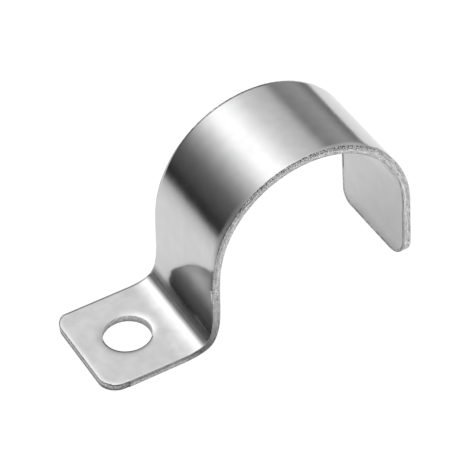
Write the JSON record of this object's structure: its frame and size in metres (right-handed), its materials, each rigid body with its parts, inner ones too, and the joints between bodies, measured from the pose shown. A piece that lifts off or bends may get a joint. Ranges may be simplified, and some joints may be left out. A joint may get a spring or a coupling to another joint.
{
  "type": "u-clamp",
  "caption": "One-lug pipe strap: a flat foot with a screw hole, a short riser, a half-round saddle over the pipe and a straight free leg, bent from one strip of bright steel.",
  "frame": {"origin": "on the pipe's axis, half way across the strap's width", "axes": "+X from the screw foot to the free leg, +Y along the pipe, +Z away from the wall that the foot is screwed to"},
  "size_m": [0.0588, 0.02, 0.0337],
  "materials": {
    "bright_steel": "bright cold-rolled, nearly mirror-like faces, with grey sheared edges"
  },
  "bodies": {
    "root": {"clamp_strap": "bright_steel"}
  },
  "joints": []
}
